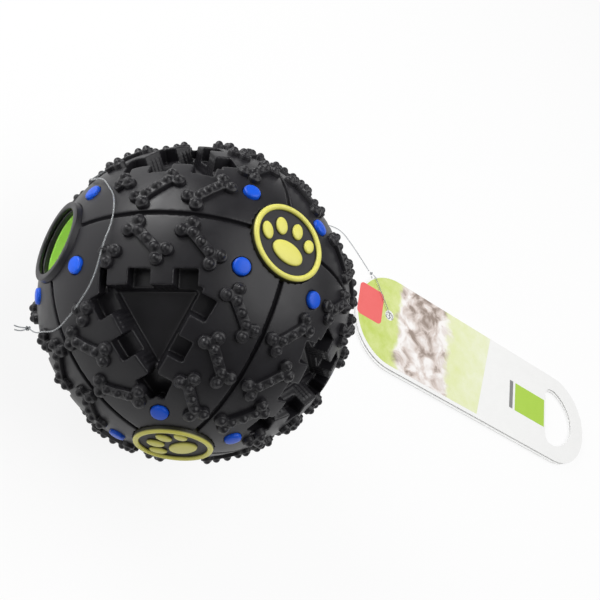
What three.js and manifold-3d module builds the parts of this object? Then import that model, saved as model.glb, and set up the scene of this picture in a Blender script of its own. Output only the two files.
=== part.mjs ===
// Treat-dispensing dog ball with a tyre tread, in millimetres, +Z up.
// The origin is the centre of the ball. The treat mouth faces -X, and the ball stands
// on the flat ring of its lower paw emblem. Every octant carries the same tread,
// mirrored across the three grooves. A card hang tag lies beside the ball on its thread.
import * as THREE from 'three';
import { mergeVertices } from 'three/addons/utils/BufferGeometryUtils.js';
import Module from 'manifold-3d';

const wasm = await Module();
wasm.setup();

// Ball shell
const LAND_RADIUS = 57;            // outside of the tread lands
const WALL = 5.5;                  // rubber wall under the lands
const SPHERE_DETAIL = 5;           // one quarter of a great circle has one facet more
const INNER_DETAIL = 3;
const ROUND_STEPS = 24;            // steps round the ball and its grooves
const BORE_STEPS = 16;             // steps round the smaller turned pieces
const CLEARANCE = 0.3;             // gap that fitted pieces keep
const SLIVER = 0.01;               // cuts leave no finer detail than this
const OVERCUT = 5;                 // how far a cutter runs past the faces that it cuts
const OUTSIDE = LAND_RADIUS + OVERCUT;
const GROOVE_WIDTH = 1.6;
const GROOVE_DEPTH = 1.5;
const SPIGOT_LENGTH = 3;           // lap of the mouth half inside the rear half
const SPIGOT_WALL = 1.8;

// Tread pocket in the middle of each octant
const POCKET_DEPTH = 10;           // from the lands to its flat floor
const POCKET_FLOOR = LAND_RADIUS - POCKET_DEPTH;
const POCKET_FLOOR_INRADIUS = 7.2;
const POCKET_TOOTH_INRADIUS = 11.1;
const POCKET_TOOTH_DEPTH = 1.1;    // depth at which the tooth line is measured
const NOTCH_DEPTH = 6.5;
const NOTCH_FLOOR = LAND_RADIUS - NOTCH_DEPTH;
const NOTCH_PITCH = 7.4;
const NOTCH_REACH = 15.4;          // distance of the notch line from the pocket axis
const NOTCH_START = 3;             // where a notch begins, from the pocket axis
const POCKET_WALL = 4;             // rubber behind the pocket, inside the ball
const TUB_INRADIUS = 11.5;
const TUB_RIM_INRADIUS = 19.5;

// Raised bones
const BONE_RISE = 1.7;             // upper face above the lands
const BONE_ROOT = 2;               // foot sunk under the lands
const BONE_END = 9.5;              // distance of each end from the bone's centre
const BONE_NECK = 3.9;             // where the shaft meets the knuckles
const HALF_BONE_START = 2.3;       // cut end of the half bones beside the mouth
const HALF_BONE_REACH = 30;        // degrees from the mouth within which bones are halved
const KNUCKLE_HALF_WIDTH = 3.4;
const SHAFT_HALF_WIDTH = 1.7;
const BONE_LATITUDE = 10;          // degrees from the groove to the bone's middle
const BONE_LEAN = 44;              // degrees between the bone and the groove
const TOP_BONES = [25.5, 43, 60.5];
const RIGHT_BONES = [29.5, 46.5, 62.5];
const LEFT_BONES = [29.5, 47.5, 62.5];

// Studs round every corner of the octants
const STUD_RADIUS = 2.95;
const STUD_RISE = 1;               // top above the lands
const STUD_HEIGHT = 3.9;
const STUD_TOP = LAND_RADIUS + STUD_RISE;
const STUD_BASE = STUD_TOP - STUD_HEIGHT;
const STUD_ANGLE = 21;
const STUD_EDGE = 0.7;             // rounding of the stud's rim
const STUD_DOME = 0.2;
const STUD_STEPS = 8;

// Paw emblems
const EMBLEM_RADIUS = 13.8;
const EMBLEM_RISE = 0.3;           // top of the ring above the lands' radius
const EMBLEM_HEIGHT = 3.9;
const EMBLEM_BASE_THICKNESS = 1.4;
const EMBLEM_TOP = LAND_RADIUS + EMBLEM_RISE;
const EMBLEM_BASE = EMBLEM_TOP - EMBLEM_HEIGHT;
const EMBLEM_BASE_TOP = EMBLEM_BASE + EMBLEM_BASE_THICKNESS;
const EMBLEM_RING_WIDTH = 2;
const EMBLEM_RING_EDGE = 0.4;
const FIELD_DROP = 1.3;            // field plate below the ring's top
const PAD_DROP = 0.2;              // pads below the ring's top
const PAD_ROOT = 0.5;              // pads sunk into the medallion's base
const EMBLEM_SEAT_RADIUS = 18;     // thick seat inside the shell
const EMBLEM_SEAT_THICKNESS = 3.5;
const EMBLEM_SEAT_DEPTH = EMBLEM_BASE - CLEARANCE - EMBLEM_SEAT_THICKNESS;
const EMBLEM_STEPS = 18;
const TOES = [
  { x: -8.5, y: 1.3, width: 4.1, height: 6.0, tilt: 14 },
  { x: -3.2, y: 5.3, width: 4.5, height: 6.5, tilt: 5 },
  { x: 3.2, y: 5.3, width: 4.5, height: 6.5, tilt: -5 },
  { x: 8.5, y: 1.3, width: 4.1, height: 6.0, tilt: -14 },
];
const MAIN_PAD = { x: 0, y: -4, width: 12.2, height: 8.6, tilt: 0 };
const TOE_STEPS = 8;
const MAIN_PAD_STEPS = 10;
const PAD_TAPER = 0.6;             // how far each pad draws in towards its top

// Treat mouth
const LIP_RADIUS = 14.7;
const LIP_RISE = 0.1;              // lip face above the lands' radius
const LIP_FACE = LAND_RADIUS + LIP_RISE;
const MOUTH_RADIUS = 11.7;
const COLLAR_DEPTH = 2.5;          // from the lip face to the collar
const COLLAR_LENGTH = 2.6;
const COLLAR_WALL = 1.2;
const COLLAR_PROUD = 0.3;          // step that the collar makes inside the lip
const NECK_RADIUS = 19;            // rubber neck inside the ball
const NECK_LENGTH = 13.1;          // from the lip face inwards
const NECK_END = LIP_FACE - NECK_LENGTH;
const THROAT_SETBACK = 5.5;        // from the lip face to the green throat
const THROAT_FACE = LIP_FACE - THROAT_SETBACK;
const THROAT_LENGTH = 23.3;
const THROAT_BORE = 12;
const THROAT_WALL = 1.6;
const THROAT_FLANGE_RADIUS = 15.2;
const THROAT_FLANGE = 2.4;
const CLAMP_RING_WIDTH = 3;

// Sound cartridge behind the treat chamber
const BARREL_BORE = 9.4;
const BARREL_WALL = 1.5;
const BARREL_LENGTH = 38;
const CAP_THICKNESS = 2;
const CAP_RADIUS = 12.2;
const CAP_SPIGOT = 3;
const CAP_SPIGOT_WALL = 1.6;
const AIR_HOLE_RADIUS = 2.6;
const SOCKET_WALL = 3;
const SOCKET_DEPTH = 8;            // how far the rear cap and barrel sit in the rubber socket
const SOCKET_BACK = 3.3;           // rubber between the socket and the rear emblem's seat
const SOCKET_FLOOR = EMBLEM_SEAT_DEPTH - SOCKET_BACK;
const SOCKET_RIM = SOCKET_FLOOR - SOCKET_DEPTH;
const BARREL_REAR = SOCKET_FLOOR - CLEARANCE - CAP_THICKNESS;
const BARREL_FRONT = BARREL_REAR - BARREL_LENGTH;
const WEIGHT_LENGTH = 14;
const WEIGHT_BORE = 5;
const REED_LENGTH = 11;
const REED_STEPS = 12;
const REED_FLAT = 1;               // height of the flat that carries the tongue
const REED_CHANNEL_WIDTH = 3.4;
const REED_CHANNEL_DEPTH = 2.5;
const REED_CHANNEL_END = 2;        // closed end of the channel
const TONGUE_WIDTH = 5;
const TONGUE_THICKNESS = 0.5;
const TONGUE_LENGTH = 10;

// Hang tag and its thread
const TAG_LENGTH = 185;
const TAG_WIDTH = 54.5;
const TAG_CENTRE = [213.5, 64.5];
const TAG_TURN = -5;               // degrees from +X to the tag's length
const TAG_LIFT = 1.1;              // the thread that runs under it holds it off the floor
const CARD_THICKNESS = 0.4;
const TAG_CORNER = 27;
const TAG_CORNER_STEPS = 4;
const TAG_HOLE_RADIUS = 3;
const TAG_HOLE_INSET = 23.2;
const TAG_HOLE_Y = 2.8;            // from the middle of the tag's width
const HANG_SLOT_LENGTH = 36;
const HANG_SLOT_WIDTH = 23.5;
const HANG_SLOT_INSET = 34.5;      // from the tag's far end to the slot's straight side
const BACK_LEAF_SHORTER = 3;
const BACK_LEAF_SLIP = 1.5;        // how far the back leaf shows past the front one's side
const THREAD_DIAMETER = 0.7;
const THREAD_SIDES = 6;
const THREAD_STEPS = 70;
const THREAD_LOOP_STEPS = 30;
const KNOT_RADIUS = 1;
const KNOT_DETAIL = 1;

const RUBBER = { color: 0x252527, roughness: 0.72, metalness: 0 };
const YELLOW = { color: 0xe3dc57, roughness: 0.5, metalness: 0 };
const BLUE = { color: 0x2463dc, roughness: 0.42, metalness: 0 };
const GREEN = { color: 0x8ccf3a, roughness: 0.38, metalness: 0 };
const BLACK_PLASTIC = { color: 0x1b1b1c, roughness: 0.45, metalness: 0 };
const WHITE_PLASTIC = { color: 0xe9e9e4, roughness: 0.4, metalness: 0 };
const BRASS = { color: 0xb89a55, roughness: 0.35, metalness: 1 };
const CARD = { color: 0xf6f6f4, roughness: 0.6, metalness: 0 };
const NYLON = { color: 0xe4e6e8, roughness: 0.25, metalness: 0 };

// The thread leaves its knotted end beside the mouth, goes round the mouth and over the
// flank, drops behind the ball and runs along the floor to the tag.
const THREAD_ROUTE = [
  [-49.9, -21.6, -26], [-50.4, -26.5, -17.2], [-50.7, -30, -7.2], [-49.7, -31.4, -1],
  [-49.9, -30.5, 10.1], [-49.9, -27.5, 16.7], [-49.9, -22, 23.1], [-51, -11.3, 28.4],
  [-50.3, -3.5, 29], [-50.4, 1.5, 29], [-50.8, 7.4, 27.4], [-51.6, 12.5, 24],
  [-52.1, 20.2, 16.1], [-52.5, 23.3, 9.5], [-51.3, 27.2, 3.5], [-49, 31.3, 0],
  [-43.7, 38.9, -0.5], [-35.1, 47.9, -2.1], [-25.5, 54, -7], [-16, 59, -18],
  [-8, 62.5, -32], [0, 66, -46], [10, 70.5, -55], [24, 77, -56.9],
  [42, 86, -56.9], [62, 96, -56.9], [80, 104.5, -56.9], [98.6, 111.1, -56.9],
  [104, 112.3, -56.9], [109.5, 112, -56.9], [116.3, 108.1, -56.9], [123.9, 102, -56.9],
  [130.2, 96.3, -56.7],
];
const END_KNOT = [-49.95, -20.9, -27.5];
const TAG_KNOT = [131.4, 95.2, -56.2];

// The loop goes under the tag, up through its hole and back over its edge. Each point is a
// distance from the tag's knot towards the hole, or from the hole onwards, and a height.
const LOOP_FROM_KNOT = [[1.4, -56.8], [6, -56.9], [11, -56.9]];
const LOOP_AT_HOLE = [[-1.4, -56.8], [0.1, -56.4], [0.8, -55.6], [0.2, -54.8], [-1.4, -54.3]];
const LOOP_TO_KNOT = [[11, -54.2], [6, -54.2], [3, -54.4], [1.3, -55.3]];

const X = new THREE.Vector3(1, 0, 0);
const Y = new THREE.Vector3(0, 1, 0);
const Z = new THREE.Vector3(0, 0, 1);

// Axes of the drawn octant: towards the mouth, the front emblem and the top emblem.
const MOUTH = X.clone().negate();
const FRONT = Y.clone().negate();
const TOP = Z.clone();
const POCKET_AXIS = new THREE.Vector3().add(MOUTH).add(FRONT).add(TOP).normalize();

// The three tread bands of an octant. A band runs along the groove whose pole is given,
// from one corner to the next. Notches are counted in pitches from the middle.
const BANDS = [
  { from: MOUTH, to: TOP, pole: FRONT, bones: TOP_BONES, lean: 1, notches: [-2.5, -0.5, 1.5] },
  { from: TOP, to: FRONT, pole: MOUTH, bones: RIGHT_BONES, lean: -1, notches: [-1.5, 0.5, 2.5] },
  { from: FRONT, to: MOUTH, pole: TOP, bones: LEFT_BONES, lean: -1, notches: [-2.5, -0.5, 1.5] },
];

function radians(degrees) {
  return THREE.MathUtils.degToRad(degrees);
}

function solid(geometry) {
  const bare = geometry.clone();
  bare.deleteAttribute('normal');
  bare.deleteAttribute('uv');
  const merged = mergeVertices(bare, 1e-5);
  return new wasm.Manifold(new wasm.Mesh({
    numProp: 3,
    vertProperties: new Float32Array(merged.attributes.position.array),
    triVerts: new Uint32Array(merged.index.array),
  }));
}

function geometryOf(manifold) {
  const mesh = manifold.asOriginal().simplify(SLIVER).getMesh();
  const geometry = new THREE.BufferGeometry();
  geometry.setAttribute('position', new THREE.BufferAttribute(mesh.vertProperties, 3));
  geometry.setIndex(new THREE.BufferAttribute(mesh.triVerts, 1));
  return geometry;
}

function joinAll(parts) {
  return parts.reduce((whole, part) => whole.add(part));
}

// Turns a geometry drawn round +Z so that its +Z looks along axis and its +Y along up.
function aimed(geometry, axis, up) {
  const side = new THREE.Vector3().crossVectors(up, axis).normalize();
  const trueUp = new THREE.Vector3().crossVectors(axis, side).normalize();
  return geometry.applyMatrix4(new THREE.Matrix4().makeBasis(side, trueUp, axis.clone().normalize()));
}

// A revolved piece round +Z, from [radius, height] points that start and end on the axis
// or close on themselves.
function revolved(points, steps) {
  const profile = points.map(([radius, height]) => new THREE.Vector2(radius, height));
  return new THREE.LatheGeometry(profile, steps).rotateX(Math.PI / 2);
}

function disc(radius, low, high, steps) {
  return revolved([[0, low], [radius, low], [radius, high], [0, high]], steps);
}

function ring(inner, outer, low, high, steps) {
  return revolved([[inner, low], [outer, low], [outer, high], [inner, high], [inner, low]], steps);
}

// The eight mirror images of a geometry drawn in the mouth, front, top octant.
function octantCopies(geometry, keep = () => true) {
  const copies = [];
  for (const signX of [1, -1]) {
    for (const signY of [1, -1]) {
      for (const signZ of [1, -1]) {
        if (keep(signX)) {
          copies.push(mirrored(geometry, signX, signY, signZ));
        }
      }
    }
  }
  return copies;
}

function mirrored(geometry, signX, signY, signZ) {
  const copy = mergeVertices(bareCopy(geometry), 1e-5);
  copy.scale(signX, signY, signZ);
  if (signX * signY * signZ < 0) {
    const index = copy.index.array;
    for (let corner = 0; corner < index.length; corner += 3) {
      [index[corner + 1], index[corner + 2]] = [index[corner + 2], index[corner + 1]];
    }
  }
  return copy;
}

function bareCopy(geometry) {
  const copy = geometry.clone();
  copy.deleteAttribute('normal');
  copy.deleteAttribute('uv');
  return copy;
}

function sphere(radius, detail) {
  return new THREE.OctahedronGeometry(radius, detail);
}

// Frames on the ball: the point at an angle along a band and a latitude off its groove.
function bandPoint(band, angle, latitude) {
  return band.from.clone().multiplyScalar(Math.cos(angle) * Math.cos(latitude))
    .addScaledVector(band.to, Math.sin(angle) * Math.cos(latitude))
    .addScaledVector(band.pole, Math.sin(latitude));
}

function boneOutline(whole) {
  const knuckles = [
    [BONE_NECK, -SHAFT_HALF_WIDTH],
    [BONE_END, -KNUCKLE_HALF_WIDTH],
    [BONE_END, KNUCKLE_HALF_WIDTH],
    [BONE_NECK, SHAFT_HALF_WIDTH],
  ];
  const start = whole
    ? knuckles.map(([x, y]) => [-x, -y])
    : [[HALF_BONE_START, SHAFT_HALF_WIDTH], [HALF_BONE_START, -SHAFT_HALF_WIDTH]];
  return new THREE.Shape([...knuckles, ...start].map(([x, y]) => new THREE.Vector2(x, y)));
}

// A bone plate that follows the ball: the upper and lower faces are drawn to its radii.
function bone(band, position, whole) {
  const angle = radians(position);
  const latitude = radians(BONE_LATITUDE);
  const centre = bandPoint(band, angle, latitude);
  const east = bandPoint(band, angle + Math.PI / 2, 0);
  const north = bandPoint(band, angle, latitude + Math.PI / 2);
  const lean = radians(BONE_LEAN);
  const along = east.multiplyScalar(band.lean * Math.cos(lean)).addScaledVector(north, Math.sin(lean));
  const plate = new THREE.ExtrudeGeometry(boneOutline(whole), { depth: 1, bevelEnabled: false });
  const across = new THREE.Vector3().crossVectors(centre, along);
  const vertices = plate.attributes.position;
  const point = new THREE.Vector3();
  for (let place = 0; place < vertices.count; place += 1) {
    const upper = vertices.getZ(place) > 0.5;
    point.copy(centre).multiplyScalar(LAND_RADIUS)
      .addScaledVector(along, vertices.getX(place))
      .addScaledVector(across, vertices.getY(place))
      .setLength(LAND_RADIUS + (upper ? BONE_RISE : -BONE_ROOT));
    vertices.setXYZ(place, point.x, point.y, point.z);
  }
  return plate;
}

// A three-sided taper round the pocket axis whose corners point to the octant's corners.
function triangleTaper(lowInradius, low, highInradius, high) {
  const taper = new THREE.CylinderGeometry(2 * highInradius, 2 * lowInradius, high - low, 3, 1);
  taper.rotateX(Math.PI / 2).rotateZ(Math.PI);
  taper.translate(0, 0, (low + high) / 2);
  return aimed(taper, POCKET_AXIS, TOP);
}

function pocketCutters() {
  const slope = (POCKET_TOOTH_INRADIUS - POCKET_FLOOR_INRADIUS) / (POCKET_DEPTH - POCKET_TOOTH_DEPTH);
  const outerInradius = POCKET_FLOOR_INRADIUS + slope * (OUTSIDE - POCKET_FLOOR);
  const cutters = [triangleTaper(POCKET_FLOOR_INRADIUS, POCKET_FLOOR, outerInradius, OUTSIDE)];
  for (const band of BANDS) {
    const along = band.to.clone().sub(band.from).normalize();
    const outward = POCKET_AXIS.clone().divideScalar(Math.sqrt(3)).sub(band.pole).normalize();
    for (const notch of band.notches) {
      const box = new THREE.BoxGeometry(NOTCH_REACH - NOTCH_START, NOTCH_PITCH, OUTSIDE - NOTCH_FLOOR);
      box.translate((NOTCH_REACH + NOTCH_START) / 2, 0, (OUTSIDE + NOTCH_FLOOR) / 2);
      const side = new THREE.Vector3().crossVectors(POCKET_AXIS, outward);
      box.translate(0, notch * NOTCH_PITCH * Math.sign(side.dot(along)), 0);
      cutters.push(box.applyMatrix4(new THREE.Matrix4().makeBasis(outward, side, POCKET_AXIS)));
    }
  }
  return cutters;
}

function studAxes() {
  const axes = [];
  for (const pole of [X, Y, Z]) {
    const [first, second] = [X, Y, Z].filter((axis) => axis !== pole);
    for (const end of [1, -1]) {
      for (const [a, b] of [[1, 1], [1, -1], [-1, -1], [-1, 1]]) {
        axes.push(pole.clone().multiplyScalar(end * Math.cos(radians(STUD_ANGLE)))
          .addScaledVector(first, a * Math.sin(radians(STUD_ANGLE)) * Math.SQRT1_2)
          .addScaledVector(second, b * Math.sin(radians(STUD_ANGLE)) * Math.SQRT1_2));
      }
    }
  }
  return axes;
}

// Where the five emblems sit, and which way their toes point.
const EMBLEMS = [
  { name: 'top', axis: Z, toes: Y },
  { name: 'front', axis: FRONT, toes: MOUTH },
  { name: 'rear', axis: X, toes: Z },
  { name: 'back', axis: Y, toes: X },
  { name: 'bottom', axis: Z.clone().negate(), toes: FRONT },
];

function facing(geometry, axis) {
  return aimed(geometry, axis, Math.abs(axis.z) > 0.9 ? Y : Z);
}

// The rubber body, before it is parted on the plane of the groove at x = 0.
function rubberBody() {
  const parts = [solid(sphere(LAND_RADIUS, SPHERE_DETAIL))];
  const grooveFloor = LAND_RADIUS - GROOVE_DEPTH;
  const halfMouth = (GROOVE_WIDTH / 2) * ((OUTSIDE - grooveFloor) / GROOVE_DEPTH);
  for (const axis of [X, Y, Z]) {
    const groove = revolved([
      [grooveFloor, 0],
      [OUTSIDE, -halfMouth],
      [OUTSIDE, halfMouth],
      [grooveFloor, 0],
    ], ROUND_STEPS);
    parts[0] = parts[0].subtract(solid(facing(groove, axis)));
  }
  for (const band of BANDS) {
    band.bones.forEach((position) => {
      const fromMouth = band.from === MOUTH ? position : 90 - position;
      const besideMouth = band.pole !== MOUTH && fromMouth < HALF_BONE_REACH;
      octantCopies(bone(band, position, true), (signX) => signX < 0 || !besideMouth)
        .forEach((copy) => parts.push(solid(copy)));
      if (besideMouth) {
        octantCopies(bone(band, position, false), (signX) => signX > 0)
          .forEach((copy) => parts.push(solid(copy)));
      }
    });
  }
  parts.push(solid(aimed(disc(LIP_RADIUS, NECK_END, LIP_FACE, ROUND_STEPS), MOUTH, Z)));
  let body = joinAll(parts);
  for (const cutter of pocketCutters()) {
    for (const copy of octantCopies(cutter)) {
      body = body.subtract(solid(copy));
    }
  }
  return body.subtract(cavity());
}

// The hollow inside: a ball less the tubs behind the pockets, the emblem seats, the neck
// and the cartridge's socket.
function cavity() {
  const inner = LAND_RADIUS - WALL;
  let hollow = solid(sphere(inner, INNER_DETAIL));
  const tub = triangleTaper(TUB_INRADIUS, POCKET_FLOOR - POCKET_WALL, TUB_RIM_INRADIUS, inner + 1);
  for (const copy of octantCopies(tub)) {
    hollow = hollow.subtract(solid(copy));
  }
  for (const emblem of EMBLEMS) {
    const seat = disc(EMBLEM_SEAT_RADIUS, EMBLEM_SEAT_DEPTH, inner + 1, BORE_STEPS);
    hollow = hollow.subtract(solid(facing(seat, emblem.axis)));
  }
  hollow = hollow.subtract(solid(facing(disc(NECK_RADIUS, NECK_END, inner + 1, BORE_STEPS), MOUTH)));
  const socket = disc(CAP_RADIUS + CLEARANCE + SOCKET_WALL, SOCKET_RIM, inner, BORE_STEPS);
  return hollow.subtract(solid(facing(socket, X)));
}

// Bores and seats that other pieces fill.
function fittedCuts() {
  const cuts = [];
  const collarOuter = MOUTH_RADIUS + COLLAR_WALL;
  const collarFace = LIP_FACE - COLLAR_DEPTH;
  cuts.push(facing(disc(MOUTH_RADIUS, collarFace - OVERCUT, OUTSIDE, BORE_STEPS), MOUTH));
  cuts.push(facing(disc(collarOuter, collarFace - OVERCUT, collarFace, BORE_STEPS), MOUTH));
  const recess = THROAT_FLANGE_RADIUS + CLEARANCE;
  cuts.push(facing(disc(recess, NECK_END - OVERCUT, THROAT_FACE, BORE_STEPS), MOUTH));
  for (const axis of studAxes()) {
    cuts.push(facing(disc(STUD_RADIUS + CLEARANCE, STUD_BASE - CLEARANCE, OUTSIDE, STUD_STEPS), axis));
  }
  for (const emblem of EMBLEMS) {
    const seat = disc(EMBLEM_RADIUS + CLEARANCE, EMBLEM_BASE - CLEARANCE, OUTSIDE, EMBLEM_STEPS);
    cuts.push(facing(seat, emblem.axis));
  }
  cuts.push(facing(disc(CAP_RADIUS + CLEARANCE, SOCKET_RIM - OVERCUT, SOCKET_FLOOR, BORE_STEPS), X));
  return cuts.map(solid);
}

function shellHalves() {
  let body = rubberBody();
  for (const cut of fittedCuts()) {
    body = body.subtract(cut);
  }
  const inner = LAND_RADIUS - WALL;
  const lapOuter = inner + SPIGOT_WALL;
  const halfSpace = new THREE.BoxGeometry(2 * OUTSIDE, 2 * OUTSIDE, OUTSIDE).translate(0, 0, OUTSIDE / 2);
  const mouthSide = solid(facing(halfSpace.clone(), MOUTH));
  const spigotSide = solid(facing(disc(lapOuter, -OVERCUT, SPIGOT_LENGTH, ROUND_STEPS), X));
  const rearSide = solid(facing(halfSpace, X));
  const counterbore = solid(
    facing(disc(lapOuter + CLEARANCE, -OVERCUT, SPIGOT_LENGTH + CLEARANCE, ROUND_STEPS), X),
  );
  return {
    mouth: body.intersect(mouthSide.add(spigotSide)),
    rear: body.intersect(rearSide).subtract(counterbore),
  };
}

function ellipse(pad, grow) {
  const tilt = radians(pad.tilt);
  const points = [];
  for (let step = 0; step < pad.steps; step += 1) {
    const turn = (2 * Math.PI * step) / pad.steps;
    const across = (pad.width / 2 + grow) * Math.cos(turn);
    const along = (pad.height / 2 + grow) * Math.sin(turn);
    points.push(new THREE.Vector2(
      pad.x + across * Math.cos(tilt) - along * Math.sin(tilt),
      pad.y + across * Math.sin(tilt) + along * Math.cos(tilt),
    ));
  }
  return new THREE.Shape(points);
}

// A pad draws in above the field plate, so that its edge looks rounded.
function raisedPad(pad) {
  const low = EMBLEM_BASE_TOP - PAD_ROOT;
  const geometry = new THREE.ExtrudeGeometry(ellipse(pad, 0), {
    depth: EMBLEM_TOP - PAD_DROP - low,
    bevelEnabled: false,
    steps: 1,
  });
  const vertices = geometry.attributes.position;
  for (let place = 0; place < vertices.count; place += 1) {
    if (vertices.getZ(place) > 0) {
      const x = vertices.getX(place) - pad.x;
      const y = vertices.getY(place) - pad.y;
      const drawn = 1 - PAD_TAPER / Math.hypot(x, y);
      vertices.setXY(place, pad.x + x * drawn, pad.y + y * drawn);
    }
  }
  return solid(geometry.translate(0, 0, low));
}

const PADS = [...TOES.map((toe) => ({ ...toe, steps: TOE_STEPS })), { ...MAIN_PAD, steps: MAIN_PAD_STEPS }];

// Yellow medallion: a base disc with the ring and the five pads standing on it.
function medallion() {
  const inner = EMBLEM_RADIUS - EMBLEM_RING_WIDTH;
  const body = solid(revolved([
    [0, EMBLEM_BASE],
    [EMBLEM_RADIUS, EMBLEM_BASE],
    [EMBLEM_RADIUS - EMBLEM_RING_EDGE, EMBLEM_TOP],
    [inner + EMBLEM_RING_EDGE, EMBLEM_TOP],
    [inner, EMBLEM_BASE_TOP],
    [0, EMBLEM_BASE_TOP],
  ], EMBLEM_STEPS));
  return joinAll([body, ...PADS.map(raisedPad)]);
}

// Black field plate that fills the medallion between the ring and the pads.
function fieldPlate() {
  const outer = EMBLEM_RADIUS - EMBLEM_RING_WIDTH - CLEARANCE;
  const shape = new THREE.Shape();
  shape.absarc(0, 0, outer, 0, 2 * Math.PI, false);
  for (const pad of PADS) {
    shape.holes.push(ellipse(pad, CLEARANCE));
  }
  const low = EMBLEM_BASE_TOP + CLEARANCE;
  const plate = new THREE.ExtrudeGeometry(shape, {
    depth: EMBLEM_TOP - FIELD_DROP - low,
    bevelEnabled: false,
    curveSegments: EMBLEM_STEPS / 2,
  });
  return plate.translate(0, 0, low);
}

function stud() {
  return revolved([
    [0, STUD_BASE],
    [STUD_RADIUS, STUD_BASE],
    [STUD_RADIUS, STUD_TOP - STUD_EDGE],
    [STUD_RADIUS - STUD_EDGE, STUD_TOP],
    [0, STUD_TOP + STUD_DOME],
  ], STUD_STEPS);
}

function mouthCollar() {
  const face = LIP_FACE - COLLAR_DEPTH - CLEARANCE;
  const outer = MOUTH_RADIUS + COLLAR_WALL - CLEARANCE;
  return ring(MOUTH_RADIUS - COLLAR_PROUD, outer, face - COLLAR_LENGTH, face, BORE_STEPS);
}

// Green throat: a flanged tube that keeps the treats from falling straight out.
function throat() {
  const outer = THROAT_BORE + THROAT_WALL;
  const face = THROAT_FACE - CLEARANCE;
  const end = face - THROAT_LENGTH;
  return revolved([
    [THROAT_BORE, end],
    [outer, end],
    [outer, face - THROAT_FLANGE],
    [THROAT_FLANGE_RADIUS, face - THROAT_FLANGE],
    [THROAT_FLANGE_RADIUS, face],
    [THROAT_BORE, face],
    [THROAT_BORE, end],
  ], BORE_STEPS);
}

function clampRing() {
  const top = THROAT_FACE - THROAT_FLANGE - 2 * CLEARANCE;
  const inner = THROAT_BORE + THROAT_WALL + CLEARANCE;
  return ring(inner, THROAT_FLANGE_RADIUS, top - CLAMP_RING_WIDTH, top, BORE_STEPS);
}

function barrel() {
  return ring(BARREL_BORE, BARREL_BORE + BARREL_WALL, BARREL_FRONT, BARREL_REAR, BORE_STEPS);
}

// An end cap drawn with its flange at height 0 and its spigot below it.
function cap() {
  const spigot = BARREL_BORE - CLEARANCE;
  return revolved([
    [AIR_HOLE_RADIUS, 0],
    [spigot - CAP_SPIGOT_WALL, 0],
    [spigot - CAP_SPIGOT_WALL, -CAP_SPIGOT],
    [spigot, -CAP_SPIGOT],
    [spigot, 0],
    [CAP_RADIUS, 0],
    [CAP_RADIUS, CAP_THICKNESS],
    [AIR_HOLE_RADIUS, CAP_THICKNESS],
    [AIR_HOLE_RADIUS, 0],
  ], BORE_STEPS);
}

function weight() {
  const half = WEIGHT_LENGTH / 2;
  return ring(WEIGHT_BORE, BARREL_BORE - CLEARANCE, -half, half, BORE_STEPS);
}

// Reed block: a round plug with a flat, and a channel in it that the tongue covers.
function reedBlock() {
  const radius = WEIGHT_BORE - CLEARANCE;
  const plug = solid(disc(radius, -REED_LENGTH / 2, REED_LENGTH / 2, REED_STEPS));
  const above = new THREE.BoxGeometry(2 * radius, radius, REED_LENGTH + OVERCUT);
  above.translate(0, REED_FLAT + radius / 2, 0);
  const channel = new THREE.BoxGeometry(REED_CHANNEL_WIDTH, REED_CHANNEL_DEPTH, REED_LENGTH);
  channel.translate(0, REED_FLAT - REED_CHANNEL_DEPTH / 2 + SLIVER, REED_CHANNEL_END);
  return plug.subtract(solid(above)).subtract(solid(channel));
}

function reedTongue() {
  const tongue = new THREE.BoxGeometry(TONGUE_WIDTH, TONGUE_THICKNESS, TONGUE_LENGTH);
  return tongue.translate(0, REED_FLAT + CLEARANCE + TONGUE_THICKNESS / 2, 0);
}

function tagOutline(length) {
  const half = TAG_WIDTH / 2;
  const corner = TAG_CORNER;
  const shape = new THREE.Shape();
  shape.moveTo(corner, -half);
  shape.lineTo(length - corner, -half);
  shape.absarc(length - corner, corner - half, corner, -Math.PI / 2, 0, false);
  shape.absarc(length - corner, half - corner, corner, 0, Math.PI / 2, false);
  shape.absarc(corner, half - corner, corner, Math.PI / 2, Math.PI, false);
  shape.absarc(corner, corner - half, corner, Math.PI, Math.PI * 1.5, false);
  const hole = new THREE.Path();
  hole.absarc(TAG_HOLE_INSET, TAG_HOLE_Y, TAG_HOLE_RADIUS, 0, 2 * Math.PI, true);
  shape.holes.push(hole);
  return shape;
}

// Hanging slot for a shop hook: straight towards the ball and rounded away from it.
function hangSlot() {
  const slot = new THREE.Path();
  const straight = TAG_LENGTH - HANG_SLOT_INSET;
  slot.absellipse(straight, 0, HANG_SLOT_WIDTH, HANG_SLOT_LENGTH / 2, -Math.PI / 2, Math.PI / 2, false);
  slot.closePath();
  return slot;
}

function card(length, low, slip) {
  const outline = tagOutline(length);
  outline.holes.push(hangSlot());
  const sheet = new THREE.ExtrudeGeometry(outline, {
    depth: CARD_THICKNESS,
    bevelEnabled: false,
    curveSegments: TAG_CORNER_STEPS,
  });
  return sheet.translate(-TAG_LENGTH / 2, -slip, low)
    .rotateZ(radians(TAG_TURN))
    .translate(...TAG_CENTRE, 0);
}

// A thread along a smooth curve through the points.
function thread(points, steps) {
  const section = [];
  for (let side = 0; side < THREAD_SIDES; side += 1) {
    const turn = (2 * Math.PI * side) / THREAD_SIDES;
    section.push(new THREE.Vector2(Math.cos(turn), Math.sin(turn)).multiplyScalar(THREAD_DIAMETER / 2));
  }
  return new THREE.ExtrudeGeometry(new THREE.Shape(section), {
    steps,
    bevelEnabled: false,
    extrudePath: new THREE.CatmullRomCurve3(points),
  });
}

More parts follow.
